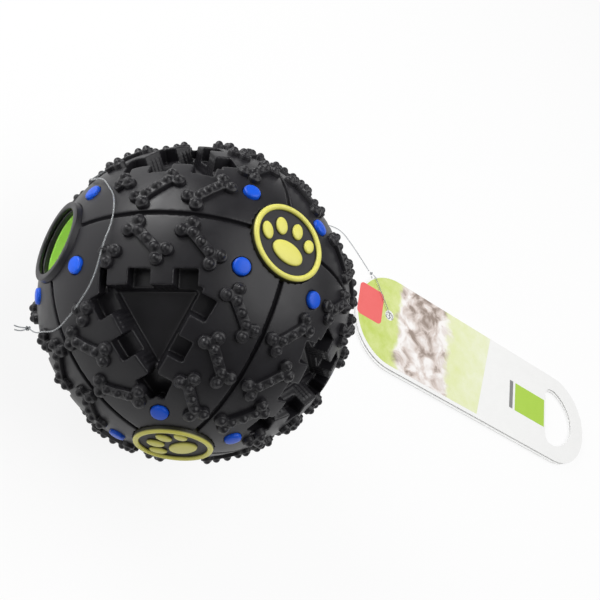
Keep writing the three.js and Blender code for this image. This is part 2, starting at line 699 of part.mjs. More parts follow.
function tagLoop() {
  const knot = new THREE.Vector3(...TAG_KNOT);
  const hole = new THREE.Vector3(TAG_HOLE_INSET - TAG_LENGTH / 2, TAG_HOLE_Y, knot.z)
    .applyAxisAngle(Z, radians(TAG_TURN))
    .add(new THREE.Vector3(...TAG_CENTRE, 0));
  const towards = hole.clone().sub(knot).normalize();
  const place = (from, [distance, height]) => from.clone().addScaledVector(towards, distance).setZ(height);
  return thread([
    ...LOOP_FROM_KNOT.map((step) => place(knot, step)),
    ...LOOP_AT_HOLE.map((step) => place(hole, step)),
    ...LOOP_TO_KNOT.map((step) => place(knot, step)),
  ], THREAD_LOOP_STEPS);
}

function threadKnot(centre) {
  return new THREE.IcosahedronGeometry(KNOT_RADIUS, KNOT_DETAIL).translate(...centre);
}

const group = new THREE.Group();

function add(name, geometry, finish) {
  const mesh = new THREE.Mesh(geometry, new THREE.MeshStandardMaterial(finish));
  mesh.name = name;
  group.add(mesh);
  return mesh;
}

const shells = shellHalves();
add('shell_mouth_half', geometryOf(shells.mouth), RUBBER);
add('shell_rear_half', geometryOf(shells.rear), RUBBER);

for (const emblem of EMBLEMS) {
  add(`emblem_${emblem.name}_medallion`, aimed(geometryOf(medallion()), emblem.axis, emblem.toes), YELLOW);
  add(`emblem_${emblem.name}_field`, aimed(fieldPlate(), emblem.axis, emblem.toes), RUBBER);
}

studAxes().forEach((axis, place) => {
  add(`stud_${String(place + 1).padStart(2, '0')}`, facing(stud(), axis), BLUE);
});

add('mouth_collar', facing(mouthCollar(), MOUTH), BLACK_PLASTIC);
add('mouth_throat', facing(throat(), MOUTH), GREEN);
add('throat_clamp_ring', facing(clampRing(), MOUTH), BLACK_PLASTIC);

add('sound_barrel', facing(barrel(), X), GREEN);
const rearCap = facing(cap(), X);
add('sound_rear_cap', rearCap.translate(BARREL_REAR, 0, 0), WHITE_PLASTIC);
const frontCap = facing(cap(), MOUTH);
add('sound_front_cap', frontCap.translate(BARREL_FRONT, 0, 0), WHITE_PLASTIC);
const weightMiddle = BARREL_FRONT + BARREL_LENGTH / 2;
add('reed_weight', facing(weight(), X).translate(weightMiddle, 0, 0), BRASS);
add('reed_block', facing(geometryOf(reedBlock()), X).translate(weightMiddle, 0, 0), WHITE_PLASTIC);
add('reed_tongue', facing(reedTongue(), X).translate(weightMiddle, 0, 0), BRASS);

const backLeafLow = TAG_LIFT - EMBLEM_TOP;
const frontLeafLow = backLeafLow + CARD_THICKNESS + CLEARANCE;
add('tag_back_leaf', card(TAG_LENGTH - BACK_LEAF_SHORTER, backLeafLow, BACK_LEAF_SLIP), CARD);
add('tag_front_leaf', card(TAG_LENGTH, frontLeafLow, 0), CARD);

const threadPoints = THREAD_ROUTE.map((point) => new THREE.Vector3(...point));
add('thread', thread(threadPoints, THREAD_STEPS), NYLON);
add('thread_tag_loop', tagLoop(), NYLON);
add('thread_end_knot', threadKnot(END_KNOT), NYLON);
add('thread_tag_knot', threadKnot(TAG_KNOT), NYLON);

export default group;
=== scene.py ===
import math

import bpy
from mathutils import Matrix, Vector


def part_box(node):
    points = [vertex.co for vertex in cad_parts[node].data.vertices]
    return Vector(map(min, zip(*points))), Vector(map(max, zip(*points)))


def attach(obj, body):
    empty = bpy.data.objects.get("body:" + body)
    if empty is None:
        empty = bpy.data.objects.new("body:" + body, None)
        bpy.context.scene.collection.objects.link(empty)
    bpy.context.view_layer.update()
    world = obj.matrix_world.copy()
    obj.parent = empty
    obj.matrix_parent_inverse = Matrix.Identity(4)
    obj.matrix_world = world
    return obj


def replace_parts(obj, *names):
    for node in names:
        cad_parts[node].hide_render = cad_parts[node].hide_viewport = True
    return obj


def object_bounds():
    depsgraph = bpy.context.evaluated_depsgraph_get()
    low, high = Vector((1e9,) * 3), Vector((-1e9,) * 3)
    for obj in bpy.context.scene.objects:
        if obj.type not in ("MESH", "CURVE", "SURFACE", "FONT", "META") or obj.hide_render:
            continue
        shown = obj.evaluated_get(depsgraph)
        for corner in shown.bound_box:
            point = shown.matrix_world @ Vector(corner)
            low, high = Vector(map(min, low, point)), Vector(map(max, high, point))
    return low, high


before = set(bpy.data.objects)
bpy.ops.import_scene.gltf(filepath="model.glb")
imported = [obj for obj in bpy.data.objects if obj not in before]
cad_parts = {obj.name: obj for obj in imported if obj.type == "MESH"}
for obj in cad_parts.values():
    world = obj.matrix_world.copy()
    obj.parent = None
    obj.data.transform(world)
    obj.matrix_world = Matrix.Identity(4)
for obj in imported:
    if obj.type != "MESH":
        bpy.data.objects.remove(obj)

CAD_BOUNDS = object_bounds()
MM = 0.001

# Ball
LAND_RADIUS = 57
WALL_INSIDE = 51.5
GROOVE_FLOOR = 55.5
HALF_GROOVE = 0.78
REACH = 64                 # cutters run out to here
BLOCK_VOXEL = 0.4
BLOCK_KEEP = 0.5           # share of the faces left after thinning

# Pocket in the middle of each octant
POCKET_FLOOR = 47
POCKET_LEDGE = 48.3
POCKET_FLOOR_INRADIUS = 7.75
POCKET_LEDGE_INRADIUS = 8.1
POCKET_TOOTH_INRADIUS = 10.5
POCKET_TOOTH_HEIGHT = 55.9
POCKET_BACK = 43
NOTCH_PITCH = 7.4
NOTCH_FLOOR = 51.4          # a notch's floor follows the ball
NOTCH_START = 7.5
NOTCH_REACH = 15.4
RIB_RADIUS = 0.4
RIB_PITCH = 1.7
RIB_STOP = 2               # below the top of the rib's tooth, which follows the ball

# Bones
BONE_RISE = 1.5
BONE_ROOT = 1.2
KNUCKLE = (7.1, 2.2)       # along and across, from the bone's middle
KNUCKLE_RADIUS = 2.25
SHAFT_WIDTH = 3.7
SHAFT_BEADS = (-4, 0, 4)
BEAD_RADIUS = 1.4
HALF_BONE_START = 2.3
BONE_VOXEL = 0.28
BONE_KEEP = 0.4
BONE_LATITUDE = math.radians(10)
BONE_LEAN = math.radians(44)
HALF_BONE_REACH = 30

# Studs
STUD_RADIUS = 2.95
STUD_TOP = 58
STUD_BASE = 54.1
STUD_ANGLE = math.radians(21)

# Paw emblems
EMBLEM_RADIUS = 13.8
EMBLEM_TOP = 57.3
EMBLEM_BASE = 53.4
RING_WIDTH = 2
FIELD_TOP = 56
# Pads: centre x and y, width, height, tilt in degrees
TOES = (
    (-8.5, 0.9, 4.2, 6.5, 14),
    (-3.3, 5.0, 4.6, 6.5, 5),
    (3.2, 5.6, 4.2, 6.2, -4),
    (8.3, 2.1, 3.9, 5.3, -12),
)
MAIN_PAD = (0.2, -3.9, 12.2, 8.2, -6)

# Mouth
LIP_FACE = 57.1
LIP_RADIUS = 14.7
MOUTH_RADIUS = 12.2
COLLAR_FACE = 55.6
COLLAR_LOW = 53.5
THROAT_FACE = 51.6
NECK_RADIUS = 19
NECK_TOP = 52.2
NECK_END = 44
FLANGE_RADIUS = 15.2
SEAT_DEPTH = 1.2           # the lip is bored this much wider for the collar
COLLAR_FIT = 0.05          # play round the collar
STOP_PLAY = 0.3            # collar and throat end this far short of their stops
COLLAR_LIP = 0.3           # the collar stands in this far past the mouth's wall
THROAT_BORE = 12
THROAT_TUBE_RADIUS = 13.6
THROAT_LENGTH = 23.3
FLANGE_THICKNESS = 2.4
NOSE_RADIUS = 13.1
CLAMP_BORE = 13.9
CLAMP_HEIGHT = 3
CLAMP_DROP = 3             # from the throat's seat down to the clamp ring

# Sound cartridge, round the X axis
BARREL_BORE = 9.4
BARREL_RADIUS = 10.9
CAP_BORE = 2.6
CAP_RADIUS = 12.2
CAP_THICKNESS = 2
CAP_PLUG = (7.5, 9.1)      # inner and outer radius of the ring inside the barrel
CAP_PLUG_DEPTH = 3
WEIGHT_BORE = 5
WEIGHT_RADIUS = 9.1
SOCKET_BORE = 12.5
SOCKET_RADIUS = 15.5
SOCKET_RIM = 38.4
SOCKET_FLOOR = 46.3
SOCKET_SEAT = 53

X, Y, Z = Vector((1, 0, 0)), Vector((0, 1, 0)), Vector((0, 0, 1))
MOUTH, FRONT, TOP = -X, -Y, Z
POCKET_AXIS = (MOUTH + FRONT + TOP).normalized()

# The three tread bands of the octant towards the mouth, the front and the top. Notches
# start and end in pitches from the band's middle, and bones are in degrees along it.
BANDS = (
    {"from": MOUTH, "to": TOP, "pole": FRONT, "bones": (25.5, 43, 60.5), "lean": 1,
     "notches": ((-2.35, -2), (-1, 0), (1, 2))},
    {"from": TOP, "to": FRONT, "pole": MOUTH, "bones": (29.5, 46.5, 62.5), "lean": -1,
     "notches": ((-2, -1), (0, 1), (2, 3))},
    {"from": FRONT, "to": MOUTH, "pole": TOP, "bones": (29.5, 47.5, 62.5), "lean": -1,
     "notches": ((-3, -2), (-1, 0), (1, 2))},
)
EMBLEMS = {
    "top": (Z, Y),
    "front": (FRONT, MOUTH),
    "rear": (X, Z),
    "back": (Y, X),
    "bottom": (-Z, FRONT),
}


# Modelling

def aim(axis, up):
    """Turns what is drawn round +Z to look along axis, with its +Y along up."""
    side = up.cross(axis).normalized()
    true_up = axis.cross(side).normalized()
    return Matrix((side, true_up, axis.normalized())).transposed().to_4x4()


def up_for(axis):
    return Y if abs(axis.z) > 0.9 else Z


def place(piece, matrix):
    piece.data.transform(matrix)
    if matrix.determinant() < 0:
        piece.data.flip_normals()
    return piece


def only(piece):
    bpy.ops.object.select_all(action="DESELECT")
    piece.select_set(True)
    bpy.context.view_layer.objects.active = piece


def settled(name):
    """Names the new primitive and puts its place into its mesh."""
    piece = bpy.context.object
    piece.name = name
    only(piece)
    bpy.ops.object.transform_apply(location=True, rotation=True, scale=True)
    return piece


def ball(radius, centre=(0, 0, 0), segments=96):
    bpy.ops.mesh.primitive_uv_sphere_add(
        radius=radius, location=centre, segments=segments, ring_count=segments // 2)
    return settled("ball")


def rod(radius, low, high, sides=64, top_radius=None):
    """A round rod along +Z, tapered where top_radius is given."""
    bpy.ops.mesh.primitive_cone_add(
        vertices=sides, radius1=radius, radius2=radius if top_radius is None else top_radius,
        depth=high - low, location=(0, 0, (low + high) / 2))
    return settled("rod")


def slab(low, high):
    """A box between two corners."""
    size = [b - a for a, b in zip(low, high)]
    middle = [(a + b) / 2 for a, b in zip(low, high)]
    bpy.ops.mesh.primitive_cube_add(size=1, location=middle, scale=size)
    return settled("slab")


def apply(piece, kind, **settings):
    only(piece)
    modifier = piece.modifiers.new(kind.title(), kind)
    for name, value in settings.items():
        setattr(modifier, name, value)
    bpy.ops.object.modifier_apply(modifier=modifier.name)
    return piece


def cut(piece, cutter, operation="DIFFERENCE"):
    apply(piece, "BOOLEAN", object=cutter, operation=operation, solver="MANIFOLD")
    bpy.data.objects.remove(cutter)
    return piece


def joined(pieces, name):
    bpy.ops.object.select_all(action="DESELECT")
    for piece in pieces:
        piece.select_set(True)
    bpy.context.view_layer.objects.active = pieces[0]
    bpy.ops.object.join()
    pieces[0].name = name
    return pieces[0]


def bisected(piece, point, normal, keep_below=True):
    """Cuts the piece on a plane and closes the cut."""
    only(piece)
    bpy.ops.object.mode_set(mode="EDIT")
    bpy.ops.mesh.select_all(action="SELECT")
    bpy.ops.mesh.bisect(
        plane_co=point, plane_no=normal, use_fill=True,
        clear_outer=keep_below, clear_inner=not keep_below)
    bpy.ops.object.mode_set(mode="OBJECT")
    return piece


def turned(name, profile, steps=72, soften=0.25):
    """A turned piece round +Z from a closed [radius, height] outline."""
    mesh = bpy.data.meshes.new(name)
    count = len(profile)
    closed = profile[0][0] > 0 or profile[-1][0] > 0
    edges = [(i, i + 1) for i in range(count - 1)] + ([(count - 1, 0)] if closed else [])
    mesh.from_pydata([(radius, 0, height) for radius, height in profile], edges, [])
    piece = bpy.data.objects.new(name, mesh)
    bpy.context.scene.collection.objects.link(piece)
    only(piece)
    bpy.ops.object.mode_set(mode="EDIT")
    bpy.ops.mesh.select_all(action="SELECT")
    bpy.ops.mesh.spin(steps=steps, angle=2 * math.pi, center=(0, 0, 0), axis=(0, 0, 1))
    bpy.ops.mesh.select_all(action="SELECT")
    bpy.ops.mesh.remove_doubles(threshold=0.001)
    bpy.ops.mesh.normals_make_consistent(inside=False)
    bpy.ops.object.mode_set(mode="OBJECT")
    if soften:
        apply(piece, "BEVEL", width=soften, segments=3, limit_method="ANGLE",
              angle_limit=math.radians(25))
    return piece


def moulded(piece, voxel, keep):
    """Melts the edges together, as a rubber moulding's are."""
    apply(piece, "REMESH", mode="VOXEL", voxel_size=voxel)
    apply(piece, "SMOOTH", factor=0.5, iterations=3)
    return apply(piece, "DECIMATE", ratio=keep)


def copy_of(piece, name, matrix):
    copy = bpy.data.objects.new(name, piece.data.copy())
    bpy.context.scene.collection.objects.link(copy)
    return place(copy, matrix)


def finished(piece, name, finish, body="ball", replaces=(), flat=False):
    """Turns the piece to metres, shades it, gives it its finish and puts it on its body."""
    piece.name = name
    piece.data.name = name
    piece.data.transform(Matrix.Scale(MM, 4))
    only(piece)
    if flat:
        bpy.ops.object.shade_smooth_by_angle(angle=math.radians(flat))
    else:
        bpy.ops.object.shade_smooth()
    piece.data.materials.clear()
    piece.data.materials.append(finish)
    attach(piece, body)
    if replaces:
        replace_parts(piece, *replaces)
    return piece


# Materials

def linear(colour):
    """An sRGB hex colour as linear red, green, blue and alpha."""
    channels = [int(colour[i:i + 2], 16) / 255 for i in (1, 3, 5)]
    return [c / 12.92 if c <= 0.04045 else ((c + 0.055) / 1.055) ** 2.4 for c in channels] + [1]


def node(tree, kind, inputs=None, **settings):
    made = tree.nodes.new(kind)
    for name, value in settings.items():
        setattr(made, name, value)
    for socket, value in (inputs or {}).items():
        if isinstance(value, bpy.types.NodeSocket):
            tree.links.new(value, made.inputs[socket])
        else:
            made.inputs[socket].default_value = value
    return made


def new_finish(name):
    finish = bpy.data.materials.new(name)
    finish.use_nodes = True
    tree = finish.node_tree
    shader = next(n for n in tree.nodes if n.type == "BSDF_PRINCIPLED")
    place_of = node(tree, "ShaderNodeTexCoord").outputs["Object"]
    return finish, tree, shader, place_of


def per_mm(size):
    """Noise scale, in object metres, for a grain of that many millimetres."""
    return 1 / (size * MM)


def moulded_rubber(name, dark, light, roughness, grain, grain_height, cloud=9):
    """Rubber from a spark-eroded mould: a fine grain breaks its sheen, and handling leaves
    paler and darker clouds."""
    finish, tree, shader, place_of = new_finish(name)
    clouds = node(tree, "ShaderNodeTexNoise", {
        "Vector": place_of, "Scale": per_mm(cloud), "Detail": 5, "Roughness": 0.6})
    colour = node(tree, "ShaderNodeMix", {
        0: clouds.outputs["Fac"], 6: linear(dark), 7: linear(light)}, data_type="RGBA")
    sheen = node(tree, "ShaderNodeMapRange", {
        "Value": clouds.outputs["Fac"], "From Min": 0.3, "From Max": 0.7,
        "To Min": roughness - 0.05, "To Max": roughness + 0.07})
    fine = node(tree, "ShaderNodeTexNoise", {
        "Vector": place_of, "Scale": per_mm(grain), "Detail": 3, "Roughness": 0.7})
    bump = node(tree, "ShaderNodeBump", {
        "Height": fine.outputs["Fac"], "Strength": 0.35, "Distance": grain_height * MM})
    tree.links.new(colour.outputs[2], shader.inputs["Base Color"])
    tree.links.new(sheen.outputs[0], shader.inputs["Roughness"])
    tree.links.new(bump.outputs[0], shader.inputs["Normal"])
    shader.inputs["Specular IOR Level"].default_value = 0.36
    return finish


def inlaid_rubber(name, body_colour, worn_colour, bare_edge_and_shade_colour, low, high, roughness, gloss=0.5):
    """Soft coloured rubber set into the black: only its crown shows the full colour, and its sides
    fall to the dark one by height from the ball's middle, partly as where a coating stops at the
    edge and partly as painted shade."""
    finish, tree, shader, place_of = new_finish(name)
    split = node(tree, "ShaderNodeSeparateXYZ", {0: place_of})
    sides = [node(tree, "ShaderNodeMath", {0: split.outputs[i]}, operation="ABSOLUTE").outputs[0]
             for i in range(3)]
    wider = node(tree, "ShaderNodeMath", {0: sides[0], 1: sides[1]}, operation="MAXIMUM")
    height = node(tree, "ShaderNodeMath", {0: wider.outputs[0], 1: sides[2]}, operation="MAXIMUM")
    # Painted shade: below this height from the ball's middle the colour falls to the dark side
    # colour.
    crown = node(tree, "ShaderNodeMapRange", {
        "Value": height.outputs[0], "From Min": low * MM, "From Max": high * MM},
        interpolation_type="SMOOTHSTEP")
    mottle = node(tree, "ShaderNodeTexNoise", {
        "Vector": place_of, "Scale": per_mm(4), "Detail": 4, "Roughness": 0.6})
    face = node(tree, "ShaderNodeMix", {
        0: mottle.outputs["Fac"], 6: linear(body_colour), 7: linear(worn_colour)},
        data_type="RGBA")
    colour = node(tree, "ShaderNodeMix", {
        0: crown.outputs[0], 6: linear(bare_edge_and_shade_colour), 7: face.outputs[2]}, data_type="RGBA")
    fine = node(tree, "ShaderNodeTexNoise", {"Vector": place_of, "Scale": per_mm(0.5), "Detail": 2})
    bump = node(tree, "ShaderNodeBump", {
        "Height": fine.outputs["Fac"], "Strength": 0.25, "Distance": 0.04 * MM})
    tree.links.new(colour.outputs[2], shader.inputs["Base Color"])
    tree.links.new(bump.outputs[0], shader.inputs["Normal"])
    shader.inputs["Roughness"].default_value = roughness
    shader.inputs["Specular IOR Level"].default_value = gloss
    return finish


def moulded_plastic(name, colour, shade, roughness, scatter=0.0):
    """Injection-moulded plastic: even colour with a faint flow cloud and a fine texture.
    Light that scatters inside it softens its shadows."""
    finish, tree, shader, place_of = new_finish(name)
    flow = node(tree, "ShaderNodeTexNoise", {"Vector": place_of, "Scale": per_mm(12), "Detail": 2})
    mixed = node(tree, "ShaderNodeMix", {
        0: flow.outputs["Fac"], 6: linear(colour), 7: linear(shade)}, data_type="RGBA")
    fine = node(tree, "ShaderNodeTexNoise", {"Vector": place_of, "Scale": per_mm(0.4), "Detail": 2})
    bump = node(tree, "ShaderNodeBump", {
        "Height": fine.outputs["Fac"], "Strength": 0.2, "Distance": 0.02 * MM})
    tree.links.new(mixed.outputs[2], shader.inputs["Base Color"])
    tree.links.new(bump.outputs[0], shader.inputs["Normal"])
    shader.inputs["Roughness"].default_value = roughness
    shader.inputs["Subsurface Weight"].default_value = scatter
    shader.inputs["Subsurface Radius"].default_value = (0.002, 0.003, 0.001)
    return finish


def rolled_brass(name):
    """Rolled brass: yellow metal with a soft sheen and small stains."""
    finish, tree, shader, place_of = new_finish(name)
    stain = node(tree, "ShaderNodeTexNoise", {"Vector": place_of, "Scale": per_mm(3), "Detail": 4})
    colour = node(tree, "ShaderNodeMix", {
        0: stain.outputs["Fac"], 6: linear("#B8964F"), 7: linear("#A07F3E")}, data_type="RGBA")
    tree.links.new(colour.outputs[2], shader.inputs["Base Color"])
    shader.inputs["Metallic"].default_value = 1
    shader.inputs["Roughness"].default_value = 0.35
    return finish


def coated_card(name, colour, shade, roughness=0.45):
    """Coated paperboard or its ink: smooth and faintly uneven in tone."""
    finish, tree, shader, place_of = new_finish(name)
    fibre = node(tree, "ShaderNodeTexNoise", {
        "Vector": place_of, "Scale": per_mm(6), "Detail": 6, "Roughness": 0.7})
    mixed = node(tree, "ShaderNodeMix", {
        0: fibre.outputs["Fac"], 6: linear(colour), 7: linear(shade)}, data_type="RGBA")
    fine = node(tree, "ShaderNodeTexNoise", {"Vector": place_of, "Scale": per_mm(0.5), "Detail": 2})
    bump = node(tree, "ShaderNodeBump", {
        "Height": fine.outputs["Fac"], "Strength": 0.15, "Distance": 0.02 * MM})
    tree.links.new(mixed.outputs[2], shader.inputs["Base Color"])
    tree.links.new(bump.outputs[0], shader.inputs["Normal"])
    shader.inputs["Roughness"].default_value = roughness
    return finish


# Where the printed meadow's tones change, in metres along X
MEADOW_FADE = (0.126, 0.226)
DRIFT_START = (0.166, 0.172)
DRIFT_STOP = (0.212, 0.204)


def meadow_print(name):
    """Printed panel of a blurred meadow: yellow-green grass, a drift of pale and brown
    pebbles across it, and straw tones towards the white end."""
    finish, tree, shader, place_of = new_finish(name)
    split = node(tree, "ShaderNodeSeparateXYZ", {0: place_of})
    along = node(tree, "ShaderNodeMapRange", {
        "Value": split.outputs["X"], "From Min": MEADOW_FADE[0], "From Max": MEADOW_FADE[1]})
    blur = node(tree, "ShaderNodeTexNoise", {
        "Vector": place_of, "Scale": per_mm(8), "Detail": 6, "Roughness": 0.7})
    shifted = node(tree, "ShaderNodeMath", {
        0: blur.outputs["Fac"], 1: along.outputs[0]}, operation="ADD")
    halved = node(tree, "ShaderNodeMath", {0: shifted.outputs[0], 1: 0.6}, operation="MULTIPLY")
    ramp = node(tree, "ShaderNodeValToRGB", {0: halved.outputs[0]})
    stops = ramp.color_ramp.elements
    stops[0].position, stops[0].color = 0.22, linear("#B9CE4E")
    stops[1].position, stops[1].color = 1, linear("#EFF2DC")
    middle = stops.new(0.55)
    middle.color = linear("#DDE5A2")
    stones = node(tree, "ShaderNodeTexNoise", {
        "Vector": place_of, "Scale": per_mm(10), "Detail": 4, "Roughness": 0.55, "Distortion": 0.6})
    tones = node(tree, "ShaderNodeValToRGB", {0: stones.outputs["Fac"]})
    stops = tones.color_ramp.elements
    stops[0].position, stops[0].color = 0.36, linear("#9A8A80")
    stops[1].position, stops[1].color = 0.6, linear("#F6F3F1")
    middle = stops.new(0.47)
    middle.color = linear("#D8CBC4")
    wander = node(tree, "ShaderNodeTexNoise", {
        "Vector": place_of, "Scale": per_mm(22), "Detail": 4, "Roughness": 0.6})
    bent = node(tree, "ShaderNodeMath", {
        0: wander.outputs["Fac"], 1: 0.035, 2: split.outputs["X"]}, operation="MULTIPLY_ADD")
    start = node(tree, "ShaderNodeMapRange", {
        "Value": bent.outputs[0], "From Min": DRIFT_START[0], "From Max": DRIFT_START[1]},
        interpolation_type="SMOOTHSTEP")
    stop = node(tree, "ShaderNodeMapRange", {
        "Value": bent.outputs[0], "From Min": DRIFT_STOP[0], "From Max": DRIFT_STOP[1]},
        interpolation_type="SMOOTHSTEP")
    drift = node(tree, "ShaderNodeMath", {0: start.outputs[0], 1: stop.outputs[0]},
                 operation="MULTIPLY")
    colour = node(tree, "ShaderNodeMix", {
        0: drift.outputs[0], 6: ramp.outputs[0], 7: tones.outputs[0]}, data_type="RGBA")
    tree.links.new(colour.outputs[2], shader.inputs["Base Color"])
    shader.inputs["Roughness"].default_value = 0.4
    return finish


def clear_nylon(name):
    """Clear drawn nylon: bright where light runs through it, and never quite colourless."""
    finish, tree, shader, place_of = new_finish(name)
    twist = node(tree, "ShaderNodeTexNoise", {"Vector": place_of, "Scale": per_mm(2), "Detail": 2})
    colour = node(tree, "ShaderNodeMix", {
        0: twist.outputs["Fac"], 6: linear("#A6AAAD"), 7: linear("#D0D3D5")}, data_type="RGBA")
    tree.links.new(colour.outputs[2], shader.inputs["Base Color"])
    shader.inputs["Roughness"].default_value = 0.25
    shader.inputs["IOR"].default_value = 1.53
    shader.inputs["Transmission Weight"].default_value = 0.7
    return finish


BLACK_RUBBER = moulded_rubber("moulded black rubber", "#151417", "#201F23", 0.4, 0.6, 0.05)
FIELD_RUBBER = moulded_rubber(
    "moulded black rubber field", "#1C1B1D", "#2E2D31", 0.55, 0.5, 0.08, 3)
# Yellow inlay: its dark side colour is partly the black where the coating stops and partly painted
# shade on the lower sides of the pads and ring.
YELLOW_RUBBER = inlaid_rubber(
    "soft yellow rubber inlay", "#DEDA70", "#D2CC58", "#24230F", 56, 56.9, 0.42)
# Blue studs: their dark side colour is painted shade down the studs' sides.
BLUE_RUBBER = inlaid_rubber(
    "soft blue rubber stud", "#0D57D6", "#0B4DC6", "#0D2C70", 50, 52, 0.4, gloss=0.3)
LIME_PLASTIC = moulded_plastic("moulded lime plastic", "#A8DE5E", "#97CC4E", 0.3, 0.25)
BLACK_PLASTIC = moulded_plastic("moulded black plastic", "#1C1C1D", "#232324", 0.42)
WHITE_PLASTIC = moulded_plastic("moulded natural plastic", "#E9E9E4", "#DEDED7", 0.4)
BRASS = rolled_brass("rolled brass")
CARD = coated_card("coated white paperboard", "#F5F5F4", "#EDEDEC")
MEADOW = meadow_print("printed grass panel")
RED_INK = coated_card("printed red patch", "#EE6E6C", "#E9625F", 0.4)
GREEN_INK = coated_card("printed green patch", "#B2D652", "#A9CE48", 0.4)
GREY_INK = coated_card("printed grey bar", "#8A8A8A", "#808080", 0.4)
NYLON = clear_nylon("clear drawn nylon")


# Camera, at the photograph's place. The rows are its right, up and back axes.

CAMERA_AXES = (
    (0.78456, 0.08563, 0.61411),
    (-0.36484, 0.86457, 0.34556),
    (-0.50135, -0.49516, 0.70955),
)
CAMERA_PLACE = Vector((-0.141417, -0.165403, 0.266357))
CAMERA_LENS = 55.224
CAMERA_SENSOR = 36


def set_camera():
    data = bpy.data.cameras.new("camera")
    data.lens = CAMERA_LENS
    data.sensor_width = CAMERA_SENSOR
    camera = bpy.data.objects.new("camera", data)
    bpy.context.scene.collection.objects.link(camera)
    turn = Matrix(CAMERA_AXES).transposed().to_4x4()
    camera.matrix_world = Matrix.Translation(CAMERA_PLACE) @ turn
    bpy.context.scene.camera = camera
    bpy.context.scene.view_settings.view_transform = "Standard"


# Thread, in millimetres, from its knotted end beside the mouth, over the flank and along
# the floor to the tag's knot

THREAD_ROUTE = (
    (-49.9, -21.6, -26), (-50.4, -26.5, -17.2), (-50.7, -30, -7.2), (-49.7, -31.4, -1),
    (-49.9, -30.5, 10.1), (-49.9, -27.5, 16.7), (-49.9, -22, 23.1), (-51, -11.3, 28.4),
    (-50.3, -3.5, 29), (-50.4, 1.5, 29), (-50.8, 7.4, 27.4), (-51.6, 12.5, 24),
    (-52.1, 20.2, 16.1), (-52.5, 23.3, 9.5), (-51.3, 27.2, 3.5), (-49, 31.3, 0),
    (-43.7, 38.9, -0.5), (-35.1, 47.9, -2.1), (-25.5, 54, -7), (-16, 59, -18),
    (-8, 62.5, -32), (0, 66, -46), (10, 70.5, -55), (24, 77, -56.9),
    (42, 86, -56.9), (62, 96, -56.9), (80, 104.5, -56.9), (98.6, 111.1, -56.9),
    (104, 112.3, -56.9), (109.5, 112, -56.9), (116.3, 108.1, -56.9), (123.9, 102, -56.9),
    (130.2, 96.3, -56.7),
)
THREAD_DIAMETER = 0.5
END_KNOT = Vector((-49.95, -20.9, -27.5))
TAG_KNOT = Vector((131.4, 95.2, -56.2))
LOOP_FROM_KNOT = ((1.4, -56.8), (6, -56.9), (11, -56.9))
LOOP_AT_HOLE = ((-1.4, -56.8), (0.1, -56.4), (0.8, -55.6), (0.2, -54.8), (-1.4, -54.3))
LOOP_TO_KNOT = ((11, -54.2), (6, -54.2), (3, -54.4), (1.3, -55.3))
TAILS = (
    ((0, 0, 0), (-1.6, -0.6, 0.5), (-3.4, -1.0, 0.4), (-5.2, -1.2, 0.7)),
    ((0, 0, 0), (-1.4, -1.2, -0.4), (-3.0, -1.9, -0.5), (-4.4, -2.2, -0.2)),
)


def strand(name, points, diameter=THREAD_DIAMETER, cyclic=False):
    """A thread along a smooth curve through points in millimetres."""
    curve = bpy.data.curves.new(name, "CURVE")
    curve.dimensions = "3D"
    curve.resolution_u = 10
    curve.bevel_depth = diameter / 2 * MM
    curve.bevel_resolution = 3
    curve.use_fill_caps = True
    spline = curve.splines.new("BEZIER")
    spline.bezier_points.add(len(points) - 1)
    spline.use_cyclic_u = cyclic
    for bead, point in zip(spline.bezier_points, points):
        bead.co = Vector(point) * MM
        bead.handle_left_type = bead.handle_right_type = "AUTO"
    piece = bpy.data.objects.new(name, curve)
    bpy.context.scene.collection.objects.link(piece)
    curve.materials.append(NYLON)
    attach(piece, "ball")
    return piece


def overhand_knot(name, centre, node):
    """A pulled-tight overhand knot: one thread round itself three times."""
    turns = [2 * math.pi * step / 24 for step in range(24)]
    points = [centre + Vector((
        math.sin(t) + 2 * math.sin(2 * t),
        math.cos(t) - 2 * math.cos(2 * t),
        -1.3 * math.sin(3 * t))) * 0.26 for t in turns]
    knot = strand(name, points, diameter=0.5, cyclic=True)
    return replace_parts(knot, node)


def tie_thread():
    hole = TAG_PLACE @ Vector((*TAG_HOLE, TAG_KNOT.z))
    towards = (hole - TAG_KNOT).normalized()

    def along(start, steps):
        return [Vector((*(start + towards * distance).xy, height)) for distance, height in steps]

    loop = strand("thread_tag_loop_strand", (
        along(TAG_KNOT, LOOP_FROM_KNOT) + along(hole, LOOP_AT_HOLE)
        + along(TAG_KNOT, LOOP_TO_KNOT)))
    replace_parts(loop, "thread_tag_loop")
    end_knot = overhand_knot("thread_end_overhand_knot", END_KNOT, "thread_end_knot")
    tag_knot = overhand_knot("thread_tag_overhand_knot", TAG_KNOT, "thread_tag_knot")
    tails = [strand(f"thread_cut_end_{place}", [END_KNOT + Vector(step) for step in tail])
             for place, tail in enumerate(TAILS, 1)]
    thread = strand("thread_strand", THREAD_ROUTE)
    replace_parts(thread, "thread")


# Rubber ball

def band_point(band, angle, latitude):
    return (band["from"] * math.cos(angle) * math.cos(latitude)
            + band["to"] * math.sin(angle) * math.cos(latitude)
            + band["pole"] * math.sin(latitude))


def stud_axis(pole, first, second):
    side = (first + second).normalized()
    return pole * math.cos(STUD_ANGLE) + side * math.sin(STUD_ANGLE)


def triangle(inradius, low, high, top_inradius=None):
    """A three-sided taper round the pocket axis, corners towards the octant's corners."""
    bpy.ops.mesh.primitive_cone_add(
        vertices=3, radius1=2 * inradius, radius2=2 * (top_inradius or inradius),
        depth=high - low, location=(0, 0, (low + high) / 2))
    piece = settled("triangle")
    corner = max(piece.data.vertices, key=lambda vertex: vertex.co.xy.length).co
    turn = math.pi / 2 - math.atan2(corner.y, corner.x)
    return place(piece, aim(POCKET_AXIS, TOP) @ Matrix.Rotation(turn, 4, "Z"))


